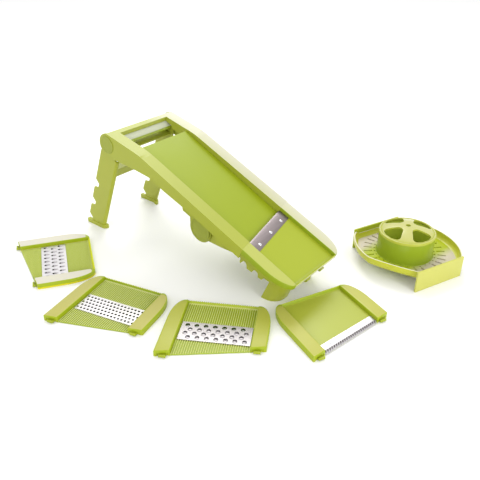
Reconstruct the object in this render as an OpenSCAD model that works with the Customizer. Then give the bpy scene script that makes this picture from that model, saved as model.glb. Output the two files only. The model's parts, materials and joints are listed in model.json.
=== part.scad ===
// Folding kitchen slicer with an inclined deck, a set of exchangeable slicing
// and grating inserts, and a food holder. The slicer stands on its two leg
// frames; the loose inserts and the holder lie on the table around it.
// +X runs down the deck to its exit end, +Y is the far side, +Z is up and the
// table is z = 0. Millimetres.

/* [Deck] */
// Outer width across the two side rails
deck_w = 134; // [130:1:136]
// Clear width between the rails
lane_w = 95; // [93:0.5:96]
// Slope of the runway below the horizontal, in degrees
deck_tilt = 23.1; // [22.5:0.1:23.5]
// How much flatter the handle section lies, in degrees
handle_bend = 9.7; // [8:0.1:11]
// Thickness of the moulded skins
skin = 3; // [2.5:0.1:3.2]

/* [Runway] */
// Drop of the runway below the blade, which is the slice thickness
slice_t = 5.6; // [4:0.1:6]
// Thickness of the runway plate
runway_t = 2.2; // [2:0.1:2.3]

/* [Inserts] */
// Mean length of an insert along the deck
insert_len = 95.5; // [94:0.5:97]
// Height of an insert's rails over the table
insert_h = 8.6; // [8.5:0.1:9]
// Slope of the cutting edge across the deck, in degrees
blade_slant = 11.7; // [10:0.1:12]
// Thickness of the metal strips
metal_t = 0.8; // [0.6:0.1:1]

/* [Legs] */
// Radius of the rear hub discs
rear_hub_r = 13.5; // [12:0.5:14]
// Radius of the front hub discs
front_hub_r = 18; // [15:0.5:18]
// Thickness of the leg panels
panel_t = 3.2; // [2.8:0.1:3.3]

/* [Food holder] */
// Distance between the outer faces of the holder's two flanges
holder_w = 140; // [138:1:142]
// Height of the flanges
flange_h = 33; // [30:1:34]
// Length of the flanges
flange_len = 88; // [80:1:92]
// Height of the grip drum over the plate
drum_h = 34; // [30:1:38]

/* [Hidden] */
$fn = 64;

// Centre of the whole set, seen from the slicer's own origin
set_centre_x = 176.2;
set_centre_y = -14.2;

// Deck: s runs down the slope, t across it and n at right angles to it
deck_origin = [3.4, 186.5];      // x and z of s = 0, n = 0
deck_len = 354;
bend_s = 64;                     // where the handle section starts
bend_r = 150;
handle_len = 71;
half_w = deck_w / 2;
lane = lane_w / 2;
gap = 0.3;                       // clearance between fitted mouldings
run_gap = 0.05;                  // radial clearance of a turning shaft
end_s = bend_s - handle_len * cos(handle_bend);
end_n = -handle_len * sin(handle_bend);
inner_wall_t = 2;                // wall on the lane side of each rail
wall_inner = half_w - skin;      // inner face of the side wall
seam_s = deck_len - insert_len;  // where the insert starts, on the centre line
slant = tan(blade_slant);
plate_drop = 6;                  // rail tops to the plates between them

// Rear legs
rear_hub = [0.9, -28.2];
rear_trunnion_r = 10;
cap_rise = 0.9;                  // how far the hub caps stand off their walls
leg_head_r = 13;
upper_bar_n = -41;               // tops of the two bars across the rear legs
lower_bar_n = -77;
leg_out = 61.5;                  // outer face of the rear leg panels
leg_s = [-15, 22.5];             // outer and inner edge of a leg
leg_flange_in = 56.5;            // how far in its turned-in edge reaches
leg_corner_r = 4;
foot_x = [-91, -46];             // ends of the rear feet on the table
notch_n = [-112, -151.5, -188.5];  // upper end of each hook notch
notch_len = 15.5;
notch_depth = 8.8;
foot_h = 7;

// Front legs
front_hub = [191.7, -45.7];
front_trunnion_r = 8;
front_out = lane - gap;          // outer face of the front leg panels
front_foot_s = [319, 343.5];
front_corner_r = 17;

// Runway hinge and thickness cam
hinge = [54, -10.2];
hinge_pin_r = 2.5;
runway_s = 48;
cam_s = 236;
cam_turn = 100;                  // travel of the dial, in degrees
runway_drop = asin(slice_t / (seam_s - hinge[0]));
cam_lift = (cam_s - hinge[0]) * tan(runway_drop) / 2 / sin(cam_turn / 2);
cam_lobe_r = 6;
cam_n = -plate_drop - runway_t - 2 * cam_lift * sin(cam_turn / 2) - cam_lobe_r
        + cam_lift * sin(cam_turn / 2) - 0.2;
cam_shaft_r = 2.5;
dial_r = 8.5;
dial_t = 4.7;                    // how far the dial stands off the side wall

// Inserts, in their own frame: a from the exit edge to the clips, b across
plate_h = [insert_h - plate_drop - runway_t, insert_h - plate_drop];
clip_b = 56;                     // clips: place across, width, depth, thickness
clip_w = 9;
clip_drop = 5.2;
clip_t = 2.2;
round_len = 40;                  // length of the rails' curved ends
round_w = half_w - lane - 1;
strip_w = 92;
fall_len = 10;                   // over which the rail tops fall to the exit edge
exit_h = insert_h - 2;
rail_inner = lane + inner_wall_t;

// Cradle under the insert: two beams, an end bar and two latches (n and t)
bar_top_n = -insert_h - gap;
beam_n = [bar_top_n - 3.5, bar_top_n];
beam_y = [51.5, 57];
latch_y = [12, 21];

// Holder
holder_pos = [381.2, 165.2];
holder_yaw = -21.5;
holder_a = 84;
holder_b = 74;
holder_plate_z = [17, 19.5];
rim_z = 30;
rim_t = 2.2;
drum_pos = [0.5, -4];
drum_r = [41, 40.4];
cap_t = 2.6;
cap_skirt = 2.4;                 // height of the cap's edge on the drum
cap_dome = 10;                   // how far the cap's middle rises over its edge
dome_r = (pow(drum_r[1], 2) + pow(cap_dome, 2)) / 2 / cap_dome;

lime = "#b4c83c";
pale_lime = "#cdda7d";
olive = "#96aa32";
steel = "#b4aab4";
bright_steel = "#e6e6ea";

// ---- frames of reference ----

module in_row()
  translate([-set_centre_x, -set_centre_y, 0]) children();

module on_deck()
  in_row() translate([deck_origin[0], 0, deck_origin[1]])
    rotate([0, deck_tilt, 0]) children();

module on_insert_seat()
  on_deck() translate([deck_len, 0, -insert_h]) rotate([0, 0, 180]) children();

// a loose insert: the middle of its exit edge and the way its clips point
module laid_at(x, y, yaw)
  in_row() translate([x, y, 0]) rotate([0, 0, yaw]) children();

module at_holder()
  in_row() translate([holder_pos[0], holder_pos[1], 0])
    rotate([0, 0, holder_yaw]) children();

// an outline drawn in (along, up), made solid from y0 to y1
module across(y0, y1)
  translate([0, y1, 0]) rotate([90, 0, 0]) linear_extrude(y1 - y0) children();

module both_sides() {
  children();
  mirror([0, 1, 0]) children();
}

module pin(at, r, y0, y1)
  translate([at[0], y0, at[1]]) rotate([-90, 0, 0]) cylinder(r = r, h = y1 - y0);

// everything past the cutting edge, down the deck
module past_seam(off)
  translate([0, 0, -60]) linear_extrude(120)
    polygon([for (t = [-100, 100]) [seam_s - slant * t + off, t],
             [600, 100], [600, -100]]);

// ---- main frame ----

// the top line's bend into the handle section, drawn `drop` below it
function bend(drop) = [for (k = [0 : 5]) let (q = handle_bend * (1 - k / 5))
  [bend_s + bend_r * tan(handle_bend / 2) - (bend_r - drop) * sin(q),
   (bend_r - drop) * cos(q) - bend_r]];
function back(points) = [for (k = [len(points) - 1 : -1 : 0]) points[k]];

module rail_skin(y0, y1) across(y0, y1)
  polygon(concat([[end_s, end_n]], bend(0), [[300, 0], [300, -skin]], back(bend(skin)),
                 [[end_s, end_n - skin]]));

module side_wall_outline() {
  polygon(concat([[end_s, end_n]], bend(0), [[300, 0], [300, -17], [160, -17.5],
           [125, -19.5], [92, -19.5], [60, -28.6], [22, -41.5], rear_hub + [0, -17],
           rear_hub]));
  translate(rear_hub) circle(r = 17);
  translate([cam_s, cam_n]) circle(r = 6);
}

module inner_wall_outline() {
  polygon(concat([[0, end_n + 1]], bend(0), [[300, 0], [300, -15], [76, -15],
           [64, -21], [21, -21], [17, -17.4], [0, -17.4]]));
  translate([cam_s, cam_n]) circle(r = 6);
}

module front_lug_outline() {
  translate(front_hub) circle(r = 20);
  polygon([[147, -14], [150.5, -36.6], [153, -41], [168, -40.6], front_hub + [-19, -5],
           front_hub, front_hub + [14, 14.3], [228, -14]]);
}

module main_frame() color(lime) difference() {
  on_deck() difference() {
    union() {
      both_sides() {
        rail_skin(lane, half_w);
        across(wall_inner, half_w) side_wall_outline();
        across(lane, rail_inner) {
          inner_wall_outline();
          front_lug_outline();
        }
        across(rail_inner - 1, wall_inner + 1)
          polygon([[226, -1], [230, -1], [230, beam_n[0]], [226, beam_n[0]]]);
      }
      // strip across the top end, with two turned-down lips
      across(-lane - 1, lane + 1)
        polygon([[end_s, end_n], [end_s + 9, end_n + 9 * tan(handle_bend)],
                 [end_s + 9, -18.4], [end_s + 6.6, -18.4], [end_s + 6.6, end_n - 1.6],
                 [end_s + 2, end_n - 2.4], [end_s + 2, end_n - 8], [end_s, end_n - 8]]);
    }
    past_seam(-gap);
    pin(rear_hub, rear_trunnion_r + run_gap, -80, 80);
    pin(front_hub, front_trunnion_r + run_gap, -55, 55);
    pin(hinge, hinge_pin_r + run_gap, -rail_inner - 1, rail_inner + 1);
    pin([cam_s, cam_n], cam_shaft_r + run_gap, -rail_inner - 1, 80);
  }
}

// two beams and an end bar that carry the insert, with its two exit latches
module insert_cradle() color(olive) on_deck() {
  both_sides() {
    across(beam_y[0], beam_y[1])
      polygon([[230, beam_n[0]], [343, beam_n[0]], [343, beam_n[1]], [230, beam_n[1]]]);
    across(latch_y[0], latch_y[1])
      polygon([[340, bar_top_n - 3.4], [354.5, bar_top_n - 4.6], [356, bar_top_n - 3],
               [356, bar_top_n], [340, bar_top_n]]);
  }
  across(-beam_y[0] - 1, beam_y[0] + 1)
    polygon([[336, beam_n[0] - 2], [343, beam_n[0] - 2], [343, bar_top_n], [336, bar_top_n]]);
}

// ---- runway and thickness adjustment ----

module runway_plate() color(lime) on_deck()
  translate([hinge[0], 0, hinge[1]]) rotate([0, runway_drop, 0])
    translate([-hinge[0], 0, -hinge[1]]) {
      translate([0, 0, -plate_drop - runway_t]) linear_extrude(runway_t)
        polygon([[runway_s, -lane + 0.5], [seam_s - 2 - slant * (-lane + 0.5), -lane + 0.5],
                 [seam_s - 2 - slant * (lane - 0.5), lane - 0.5], [runway_s, lane - 0.5]]);
      for (t = [-36, -12, 12, 36])
        across(t - 1, t + 1)
          polygon([[hinge[0], hinge[1]], [216, hinge[1] - 2], [220, -plate_drop - runway_t + 0.1],
                   [hinge[0], -plate_drop - runway_t + 0.1]]);
      pin(hinge, hinge_pin_r + 0.7, -lane + 0.5, lane - 0.5);
      pin(hinge, hinge_pin_r, -rail_inner + 0.2, rail_inner - 0.2);
    }

module at_cam() on_deck() translate([cam_s, 0, cam_n])
  rotate([0, cam_turn / 2, 0]) children();

module thickness_cam() color(bright_steel) at_cam() {
  pin([0, 0], cam_shaft_r, -rail_inner + 0.2, half_w + dial_t - 1.5);
  for (t = [-30, 30])
    pin([cam_lift, 0], cam_lobe_r, t - 4, t + 4);
}

module thickness_dial() color(olive) at_cam() difference() {
  pin([0, 0], dial_r, half_w + gap, half_w + dial_t);
  pin([0, 0], cam_shaft_r, half_w - 1, half_w + dial_t - 1.5);
  for (k = [0 : 15])
    rotate([0, k * 22.5, 0]) pin([dial_r + 0.6, 0], 1.2, half_w + 1.5, half_w + dial_t + 1);
}

// ---- rear legs ----

module hook_notch(n)
  polygon([[-20, n + 4], [leg_s[0], n + 1], [leg_s[0] + notch_depth, n - 4],
           [leg_s[0] + notch_depth, n - notch_len + 5],
           [leg_s[0] + notch_depth - 3, n - notch_len + 2],
           [leg_s[0] + 3, n - notch_len], [-20, n - notch_len - 2]]);

// corner-rounded L of the legs and feet, its long side along s, its short side turned in
module turned_in_edge(s0, s1, t_out, t_in, r, w)
  polygon(concat([[s0, t_out - w], [s0, t_out]],
    [for (q = [0 : 15 : 90]) [s1 - r + r * sin(q), t_out - r + r * cos(q)]],
    [[s1, t_in], [s1 - w, t_in], [s1 - w, t_out - w]]));

// flat head of a leg, round its hub
module rear_leg_head() {
  translate(rear_hub) circle(r = leg_head_r);
  polygon([rear_hub + [-leg_head_r, 0], [leg_s[0], -60], [leg_s[1] - leg_corner_r, -60],
           rear_hub + [leg_head_r, 0]]);
}

// bar across the legs: a top plate, with a lip at its back or a face in front
module cross_bar(n, lip_s, depth) across(-leg_out + 1, leg_out - 1) {
  polygon([[-3, n], [12, n], [12, n - 2.6], [-3, n - 2.6]]);
  polygon([[lip_s, n - 1], [lip_s + 2.6, n - 1], [lip_s + 2.6, n - depth], [lip_s, n - depth]]);
}

module rear_leg_frame() color(lime) {
  difference() {
    on_deck() {
      both_sides() {
        across(leg_out - panel_t, leg_out) rear_leg_head();
        difference() {
          translate([0, 0, -230]) linear_extrude(230 - 50)
            turned_in_edge(leg_s[0], leg_s[1], leg_out, leg_flange_in, leg_corner_r, panel_t);
          across(leg_flange_in, half_w) for (n = notch_n) hook_notch(n);
        }
        pin(rear_hub, rear_trunnion_r, leg_out - 1, half_w + 0.1);
      }
      cross_bar(upper_bar_n, -3, 12);
      cross_bar(lower_bar_n, 9.4, 15.5);
    }
    in_row() translate([-200, -100, -100]) cube([300, 200, 100]);
  }
  in_row() both_sides() linear_extrude(foot_h)
    turned_in_edge(foot_x[0], foot_x[1], leg_out + 1.3, 54, 7, panel_t + 2.5);
}

module carry_bar() color(pale_lime) on_deck()
  pin(rear_hub, 9, -leg_out + panel_t, leg_out - panel_t);

module rear_hub_cap(side) color(olive) on_deck() difference() {
  pin(rear_hub, rear_hub_r, side > 0 ? half_w + 0.1 : -half_w - cap_rise,
      side > 0 ? half_w + cap_rise : -half_w - 0.1);
  pin(rear_hub, rear_hub_r - 2.5, side > 0 ? half_w + cap_rise - 0.3 : -half_w - 3,
      side > 0 ? half_w + 3 : -half_w - cap_rise + 0.3);
}
module rear_hub_cap_near() rear_hub_cap(-1);
module rear_hub_cap_far() rear_hub_cap(1);

// ---- front legs ----

module front_leg_outline() {
  translate(front_hub) circle(r = 15);
  polygon([front_hub + [-2, 14.8], [207, -32], [250, -27], [262, -17.5],
           [front_foot_s[0] + 8, -17.5], [front_foot_s[0] + 8, -36],
           [front_foot_s[0], -32.8], [309.7, -34.3], [307.4, -40.3], [301.2, -41],
           [299, -35.8], [296.5, -34.6], [293, -34.8], [291.5, -36], [289.5, -42],
           [281, -43.4], [278.5, -38], [275.5, -35.6], [271.8, -36], [269, -43.6],
           [267, -43.2], [266, -35.8], [256, -36.4], [231, -47],
           front_hub + [3, -14.7]]);
}

module front_foot_plan(inset)
  polygon(concat([[front_foot_s[0], front_out - inset]],
    [for (q = [0 : 8 : 88]) [front_foot_s[1] - front_corner_r + (front_corner_r - inset) * sin(q),
                             front_out - front_corner_r + (front_corner_r - inset) * cos(q)]],
    [[front_foot_s[1] - inset, 22], [front_foot_s[0], 22]]));

module front_leg_frame() color(lime) difference() {
  on_deck() {
    both_sides() {
      across(front_out - panel_t, front_out) front_leg_outline();
      pin(front_hub, front_trunnion_r, front_out - 1, rail_inner + 0.1);
      translate([0, 0, -90]) linear_extrude(72.5) difference() {
        front_foot_plan(0);
        front_foot_plan(panel_t - 0.2);
        translate([front_foot_s[0] - 1, 21]) square([14, 26.5 - panel_t]);
      }
    }
    across(-front_out + 1, front_out - 1)
      polygon([[262, -18], [265, -18], [265, -33], [262, -33]]);
  }
  in_row() translate([200, -100, -100]) cube([300, 200, 100]);
}

module front_cross_bar() color(pale_lime) on_deck()
  pin(front_hub, 6, -front_out + panel_t, front_out - panel_t);

module front_hub_cap(side) color(olive) on_deck() difference() {
  pin(front_hub, front_hub_r, side > 0 ? rail_inner + 0.1 : -rail_inner - 1.7,
      side > 0 ? rail_inner + 1.7 : -rail_inner - 0.1);
  pin(front_hub, front_hub_r - 2.5, side > 0 ? rail_inner + 1.2 : -rail_inner - 3,
      side > 0 ? rail_inner + 3 : -rail_inner - 1.2);
}
module front_hub_cap_near() front_hub_cap(-1);
module front_hub_cap_far() front_hub_cap(1);

// ---- inserts ----

function tab_end(b) = insert_len - slant * b;
// outer edge of a rail near the exit end, off the rail's inner edge
function rail_edge(a) = lane + 1 + round_w * sqrt(1 - pow(1 - min(a, round_len) / round_len, 2));

// plan of the rails on one side, drawn w inside the true outer edge
module rail_plan(side, inner, w)
  polygon(concat([[w, side * inner], [tab_end(side * inner) - w, side * inner],
                  [tab_end(side * half_w) - w, side * (half_w - w)]],
    [for (a = [round_len, 30, 22, 15, 10, 6, 3, 1]) [max(a, w), side * (rail_edge(a) - w)]]));

module plate_plan(setback)
  polygon([[0, -lane - 1], [tab_end(-lane - 1) - setback, -lane - 1],
           [tab_end(lane + 1) - setback, lane + 1], [0, lane + 1]]);

// rounded fall of the rail tops towards the exit edge
module exit_fall() across(-half_w - 1, half_w + 1)
  polygon(concat([[120, -1], [120, insert_h], [fall_len, insert_h]],
    [for (q = [15 : 15 : 90]) [fall_len * (1 - sin(q)), exit_h + (insert_h - exit_h) * cos(q)]],
    [[0, -1]]));

// wall across the exit edge, where the plate turns up to the rails' tips
module exit_wall() across(-lane - 1, lane + 1)
  polygon([[0, plate_h[0]], [0, exit_h], [1.2, exit_h], [2.2, plate_h[1] + 1.5],
           [5, plate_h[1]], [5, plate_h[0]]]);

module insert_frame(setback = 0) color(lime) {
  intersection() {
    for (side = [-1, 1]) difference() {
      linear_extrude(insert_h) rail_plan(side, lane, 0);
      translate([0, 0, -1]) linear_extrude(insert_h - skin + 1)
        rail_plan(side, rail_inner, skin);
    }
    exit_fall();
  }
  exit_wall();
  difference() {
    translate([0, 0, plate_h[0]]) linear_extrude(runway_t) plate_plan(setback);
    children();
  }
  // clips that hook under the main frame's rails
  for (side = [-1, 1])
    translate([tab_end(side * clip_b) - 4, side * clip_b - clip_w / 2, insert_h - clip_drop - clip_t])
      cube([8.5, clip_w, clip_t]);
}

module strip_pocket(a0, a1) {
  translate([a0, -strip_w / 2, plate_h[1] - metal_t / 2])
    cube([a1 - a0, strip_w, 2]);
  translate([a0 + 2.5, -strip_w / 2 + 3, 0]) cube([a1 - a0 - 5, strip_w - 6, 10]);
}

module strip(a0, a1) color(bright_steel) difference() {
  translate([a0, -strip_w / 2, plate_h[1] - metal_t / 2])
    cube([a1 - a0, strip_w, metal_t]);
  translate([0, 0, -1]) linear_extrude(20) children();
}

// the band of metal along the cutting edge, from d0 to d1 inside it
module edge_band(d0, d1, w)
  polygon([[tab_end(-w) - d0, -w], [tab_end(w) - d0, w], [tab_end(w) - d1, w],
           [tab_end(-w) - d1, -w]]);

module edge_pocket(d1)
  translate([0, 0, plate_h[1] - metal_t / 2]) linear_extrude(4)
    edge_band(-30, d1, lane - gap);

blade_w = 18;
blade_reach = 6;                 // how far the blade stands over the gap
rivet_b = [-32, 0, 32];
module rivets(d, inset) for (b = rivet_b)
  translate([tab_end(b) - inset, b, plate_h[0]]) {
    cylinder(r = d / 2, h = runway_t + metal_t / 2 + 0.1);
    translate([0, 0, runway_t + metal_t / 2]) cylinder(r = d, h = 0.7);
  }
module rivet_holes(d, inset) for (b = rivet_b)
  translate([tab_end(b) - inset, b, 0]) cylinder(r = d / 2, h = 20);

module slicing_insert_frame() on_insert_seat() insert_frame(blade_reach) {
  edge_pocket(blade_w);
  rivet_holes(2.4, 12);
}
module slicing_blade() color(steel) on_insert_seat() difference() {
  translate([0, 0, plate_h[1] - metal_t / 2]) linear_extrude(metal_t)
    edge_band(-1, blade_w, lane - gap);
  rivet_holes(2.4, 12);
}
module blade_rivets() color(bright_steel) on_insert_seat() rivets(2.4, 12);

shredder_at = [38.5, 75];
module shredder_place() laid_at(5.6, -128.6, 237.2) children();
module shredder_insert_frame() shredder_place() insert_frame()
  strip_pocket(shredder_at[0], shredder_at[1]);
module shredder_strip() shredder_place() strip(shredder_at[0], shredder_at[1])
  for (i = [0 : 2], j = [0 : 8 - i % 2])
    translate([shredder_at[0] + 7.5 + 10.6 * i, -42 + 10.3 * j + (i % 2) * 5.15]) square([5, 1.6]);

fine_at = [40, 74];
module fine_place() laid_at(120, -145.5, 285) children();
module fine_grater_insert_frame() fine_place() insert_frame()
  strip_pocket(fine_at[0], fine_at[1]);
module fine_grater_strip() fine_place() strip(fine_at[0], fine_at[1])
  for (i = [0 : 4], j = [0 : 15 - i % 2])
    translate([fine_at[0] + 4 + 6 * i, -41.25 + 5.5 * j + (i % 2) * 2.75]) square([2.4, 2.4]);

coarse_at = [42, 77];
coarse_hole_r = 3.1;
module coarse_place() laid_at(245.6, -96.5, 301.1) children();
module coarse_grater_insert_frame() coarse_place() insert_frame()
  strip_pocket(coarse_at[0], coarse_at[1]);
module coarse_grater_strip() coarse_place() strip(coarse_at[0], coarse_at[1])
  for (i = [0 : 3], j = [0 : 6])
    translate([coarse_at[0] + 6 + 7.6 * i, -38.5 + 12 * j + (i % 2) * 5])
      circle(r = coarse_hole_r);

comb_w = 14;
comb_pitch = 3.2;
module julienne_place() laid_at(324.4, -6.5, 337.2) children();
module julienne_insert_frame() julienne_place() insert_frame() {
  edge_pocket(comb_w);
  rivet_holes(2, 10);
}
module julienne_blade() color(bright_steel) julienne_place() {
  difference() {
    translate([0, 0, plate_h[1] - metal_t / 2]) linear_extrude(metal_t)
      edge_band(-1, comb_w, lane - gap);
    rivet_holes(2, 10);
  }
  // upright teeth along the edge
  for (b = [-44.8 : comb_pitch : 45])
    translate([tab_end(b) - 4, b - 0.4, plate_h[1]]) cube([3.6, 0.8, 3.2]);
}
module julienne_rivets() color(bright_steel) julienne_place() rivets(2, 10);

// ---- food holder ----

// the dish's edge: an ellipse, flatter on one side of the front
function holder_edge(q, w) = [(holder_a - w) * cos(q),
  (holder_b - w) * sin(q) * (q > 270 ? 1 - 0.2 * sin(2 * (q - 270)) : 1)];
module holder_outline(w) intersection() {
  polygon([for (q = [0 : 5 : 355]) holder_edge(q, w)]);
  square([holder_w - 2 * w, 2 * holder_b], center = true);
}

slots = 30;
slot_w = 3;
module slot_ring(r0, r1) for (k = [0 : slots - 1])
  rotate([0, 0, k * 360 / slots]) translate([(r0 + r1) / 2, 0, 0])
    cube([r1 - r0, slot_w, 10], center = true);

// dish with a stepped underside, its rim and its slots
module holder_dish() difference() {
  union() {
    translate([0, 0, holder_plate_z[0]]) linear_extrude(4) holder_outline(4);
    translate([0, 0, holder_plate_z[0] + 2.5]) linear_extrude(rim_z - holder_plate_z[0] - 2.5)
      holder_outline(0);
  }
  translate([0, 0, holder_plate_z[1] + 2.5]) linear_extrude(20) holder_outline(rim_t);
  translate([0, 0, holder_plate_z[1]]) linear_extrude(20) holder_outline(6.5);
  intersection() {
    translate([drum_pos[0], drum_pos[1], holder_plate_z[0] + 1]) {
      slot_ring(42.4, 45.5);
      slot_ring(47.5, 60.5);
    }
    linear_extrude(40) holder_outline(8);
  }
}

module holder_plate() color(lime) at_holder() {
  holder_dish();
  for (m = [0, 1]) mirror([m, 0, 0])
    translate([holder_w / 2 - skin, -flange_len / 2, 0])
      cube([skin, flange_len, flange_h]);
}

module holder_drum() color(olive) at_holder()
  translate([drum_pos[0], drum_pos[1], holder_plate_z[1]]) difference() {
    cylinder(r1 = drum_r[0], r2 = drum_r[1], h = drum_h - cap_skirt);
    translate([0, 0, -0.1])
      cylinder(r1 = drum_r[0] - 2.4, r2 = drum_r[1] - 2.4, h = drum_h);
  }

// rounded triangle with its tip towards the middle and its base near the edge
module cap_opening(r) intersection() {
  translate([r * 0.66, 0]) circle(r = 16.5);
  rotate(-45) translate([r * 0.14, r * 0.14]) square([40, 40]);
  circle(r = r - 4);
}

// domed cap, open below, with a straight edge that sits on the drum
module holder_cap() color(pale_lime) at_holder()
  translate([drum_pos[0], drum_pos[1], holder_plate_z[1] + drum_h - cap_skirt])
    difference() {
      intersection() {
        cylinder(r = drum_r[1] + 0.6, h = cap_skirt + cap_dome);
        translate([0, 0, cap_skirt + cap_dome - dome_r]) sphere(r = dome_r);
      }
      intersection() {
        translate([0, 0, -1]) cylinder(r = drum_r[1] - 2.4, h = cap_skirt + cap_dome + 1);
        translate([0, 0, cap_skirt + cap_dome - dome_r]) sphere(r = dome_r - cap_t);
      }
      for (k = [0 : 3]) rotate([0, 0, 90 * k])
        linear_extrude(30) cap_opening(drum_r[1]);
      cylinder(r = 3.6, h = 30);
    }

module holder_prongs() color(bright_steel) at_holder() for (i = [-2 : 2], j = [-1 : 1])
  translate([drum_pos[0] + 14 * i, drum_pos[1] + 16 * j, holder_plate_z[0] - 12])
    cylinder(r1 = 0.5, r2 = 1, h = 12);

main_frame();
insert_cradle();
runway_plate();
thickness_cam();
thickness_dial();
rear_leg_frame();
carry_bar();
rear_hub_cap_near();
rear_hub_cap_far();
front_leg_frame();
front_cross_bar();
front_hub_cap_near();
front_hub_cap_far();
slicing_insert_frame();
slicing_blade();
blade_rivets();
shredder_insert_frame();
shredder_strip();
fine_grater_insert_frame();
fine_grater_strip();
coarse_grater_insert_frame();
coarse_grater_strip();
julienne_insert_frame();
julienne_blade();
julienne_rivets();
holder_plate();
holder_drum();
holder_cap();
holder_prongs();
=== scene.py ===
"""Looks of the folding mandoline slicer, its loose inserts and its food holder."""
import json
from math import atan2, cos, hypot, pi, radians, sin, sqrt, tan, tanh

import bmesh
import bpy
from mathutils import Matrix, Vector


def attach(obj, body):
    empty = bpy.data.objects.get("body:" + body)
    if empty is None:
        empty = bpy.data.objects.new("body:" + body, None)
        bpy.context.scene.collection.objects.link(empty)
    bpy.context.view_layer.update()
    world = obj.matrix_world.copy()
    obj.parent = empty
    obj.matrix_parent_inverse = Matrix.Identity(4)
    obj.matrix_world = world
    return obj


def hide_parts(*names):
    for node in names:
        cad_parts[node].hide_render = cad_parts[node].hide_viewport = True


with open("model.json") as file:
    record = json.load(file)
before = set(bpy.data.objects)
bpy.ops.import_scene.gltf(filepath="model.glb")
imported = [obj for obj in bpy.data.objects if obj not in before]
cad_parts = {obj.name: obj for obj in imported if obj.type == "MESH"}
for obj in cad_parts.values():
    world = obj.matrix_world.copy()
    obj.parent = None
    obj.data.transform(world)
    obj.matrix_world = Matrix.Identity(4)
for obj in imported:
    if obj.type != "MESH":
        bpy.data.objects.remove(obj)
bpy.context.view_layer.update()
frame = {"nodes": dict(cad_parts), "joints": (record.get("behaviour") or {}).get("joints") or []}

# ---- driving sizes, in millimetres, as the CAD part has them ----

MM = 0.001
DECK_TILT = radians(23.1)
DECK_ORIGIN = Vector((3.4, 0, 186.5))
DECK_LEN = 354
REAR_HUB = Vector((0.9, 0, -28.2))
HALF_W = 67            # centre line to the side walls' outer faces
LANE = 47.5            # centre line to the rails' inner faces
SKIN = 3
INSERT_LEN = 95.5
INSERT_H = 8.6
SLANT = tan(radians(11.7))
PLATE_TOP = 2.6        # top of an insert's plate over its underside
PLATE_LOW = 0.4
METAL_T = 0.8
HOOD_T = 0.35
STRIP_HALF = 46        # half the length of a metal strip
METAL_TOP = PLATE_TOP + METAL_T / 2
ROUND_LEN = 40         # length of the rails' curved ends
FALL_LEN = 10          # over which the rail tops fall to the exit edge
EXIT_H = INSERT_H - 2
HOLDER_W = 140
FLANGE_H = 33
FLANGE_LEN = 88
HOLDER_A = 84
HOLDER_B = 74
HOLDER_PLATE = (17, 19.5)
RIM_Z = 30
DRUM_AT = (0.5, -4)
DRUM_R = (41, 40.4)
DRUM_H = 34
CAP_SKIRT = 2.4
CAP_DOME = 10
DOME_R = (DRUM_R[1] ** 2 + CAP_DOME ** 2) / 2 / CAP_DOME
SLOTS = 30
SLOT_W = 3
SINK = 0.4             # how far a metal's seat lies under the plate's top
OVERLAP = 0.6          # how far plates reach into the rails
CLIP_B = 56            # centre line to the middle of a clip
CLIP_HALF = 4.5
BAR_B = 43             # centre line to the bars that carry a strip
SHARP = radians(32)    # edges sharper than this are shown as edges
WELD = 1e-6            # metres

joints = {j["name"]: j for j in frame["joints"]}


def deck_turn():
    return Matrix.Rotation(DECK_TILT, 4, "Y")


def row_offset():
    """The slicer's own origin in the row frame, from where the rear hub joint is."""
    hub = DECK_ORIGIN + deck_turn() @ REAR_HUB
    return Vector(joints["rear_legs_fold"]["pos_m"]) - hub * MM


OFFSET = row_offset()


def placed(x, y, z=0.0, yaw=0.0):
    """Millimetres at (x, y, z) in the slicer's frame, turned by yaw degrees, to metres in the row."""
    return (Matrix.Translation(OFFSET + Vector((x, y, z)) * MM)
            @ Matrix.Rotation(radians(yaw), 4, "Z") @ Matrix.Scale(MM, 4))


DECK = placed(*DECK_ORIGIN) @ deck_turn()
SEAT = DECK @ Matrix.Translation((DECK_LEN, 0, -INSERT_H)) @ Matrix.Rotation(pi, 4, "Z")
SHREDDER = placed(5.6, -128.6, yaw=237.2)
FINE = placed(120, -145.5, yaw=285)
COARSE = placed(245.6, -96.5, yaw=301.1)
JULIENNE = placed(324.4, -6.5, yaw=337.2)
HOLDER = placed(381.2, 165.2, yaw=-21.5)

# ---- camera, light and floor ----

LENS = 43.48
CAMERA_AT = (663.9, -566.2, 476.1)     # millimetres, in the slicer's frame
CAMERA_TILT = 59.44
CAMERA_YAW = 39.69
FLOOR_HALF = 6.0       # metres


def look_at(obj, target):
    aim = Vector(target) - obj.location
    obj.rotation_euler = aim.to_track_quat("-Z", "Y").to_euler()


def make_camera():
    data = bpy.data.cameras.new("camera")
    data.lens = LENS
    data.sensor_width = 36
    data.clip_start = 0.01
    data.clip_end = 20
    camera = bpy.data.objects.new("camera", data)
    bpy.context.scene.collection.objects.link(camera)
    camera.location = OFFSET + Vector(CAMERA_AT) * MM
    camera.rotation_euler = (radians(CAMERA_TILT), 0, radians(CAMERA_YAW))
    bpy.context.scene.camera = camera


def area_light(name, place, target, size, power):
    data = bpy.data.lights.new(name, "AREA")
    data.shape = "DISK"
    data.size = size
    data.energy = power
    light = bpy.data.objects.new(name, data)
    light.location = place
    bpy.context.scene.collection.objects.link(light)
    look_at(light, target)


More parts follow.
